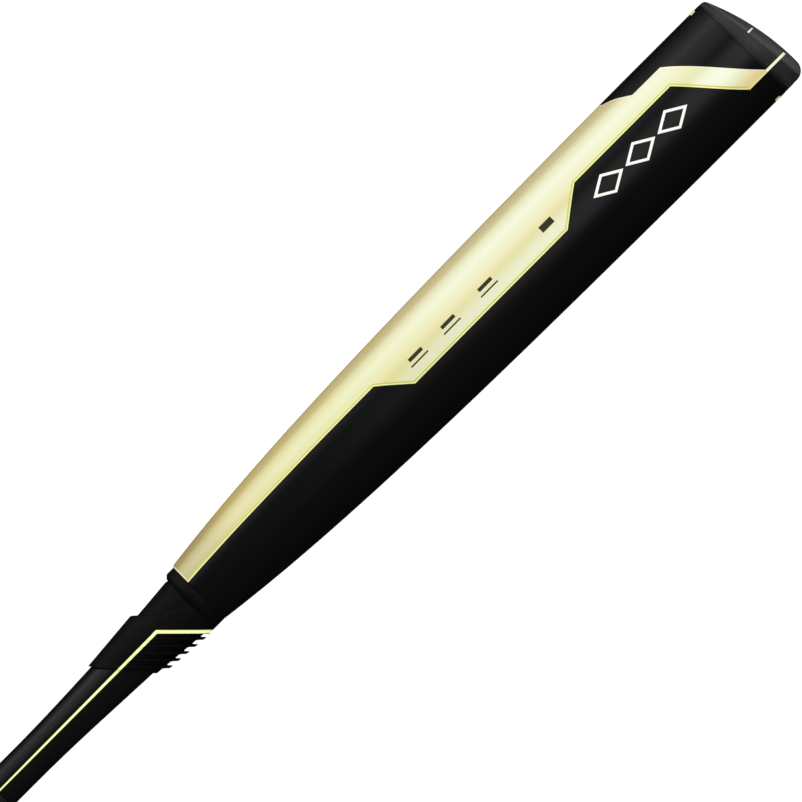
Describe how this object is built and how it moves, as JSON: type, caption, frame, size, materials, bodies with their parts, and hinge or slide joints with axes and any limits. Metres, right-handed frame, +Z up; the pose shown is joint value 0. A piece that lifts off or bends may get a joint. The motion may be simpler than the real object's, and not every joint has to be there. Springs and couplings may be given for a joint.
{
  "type": "baseball bat",
  "caption": "Two-piece composite baseball bat with a flexible rubber joint, a sloped barrel cap and an oval angled knob.",
  "frame": {"origin": "on the floor under the bat's axis, midway between the knob's heel and the cap's tip; the barrel's axis is 33.34 mm above it", "axes": "+X along the bat from the knob to the cap, +Z up with the bat lying on its side, -Y the hitting side, where the collar's fins, the cap's high side and the knob's toe are"},
  "size_m": [0.8382, 0.0666, 0.0667],
  "materials": {
    "barrel_finish": "satin lacquer, champagne gold panel between black fields",
    "cap_plastic": "moulded urethane, fine ribs on the side",
    "boot_rubber": "matte",
    "ring_plastic": "matte",
    "handle_finish": "satin lacquer with a pale line",
    "grip_tape": "wrapped, tacky and pebbled",
    "band_tape": "vinyl tape",
    "knob_plastic": "fine moulded texture",
    "badge_plastic": "gloss",
    "inner_rubber": "matte",
    "inner_plastic": "as moulded",
    "grid_plastic": "as moulded",
    "adhesive": "cured",
    "steel": "turned"
  },
  "bodies": {
    "root": {"barrel_shell": "barrel_finish", "barrel_ring": "inner_plastic", "end_cap": "cap_plastic", "cap_bond": "adhesive", "cap_weight": "steel", "collar_boot": "boot_rubber", "collar_ring": "ring_plastic", "coupling_sleeve": "inner_rubber", "lock_ring": "inner_plastic", "handle_tube": "handle_finish", "handle_plug": "inner_plastic", "damping_grid": "grid_plastic", "grip_wrap": "grip_tape", "grip_band": "band_tape", "knob": "knob_plastic", "knob_weight": "steel", "knob_badge": "badge_plastic"}
  },
  "joints": []
}
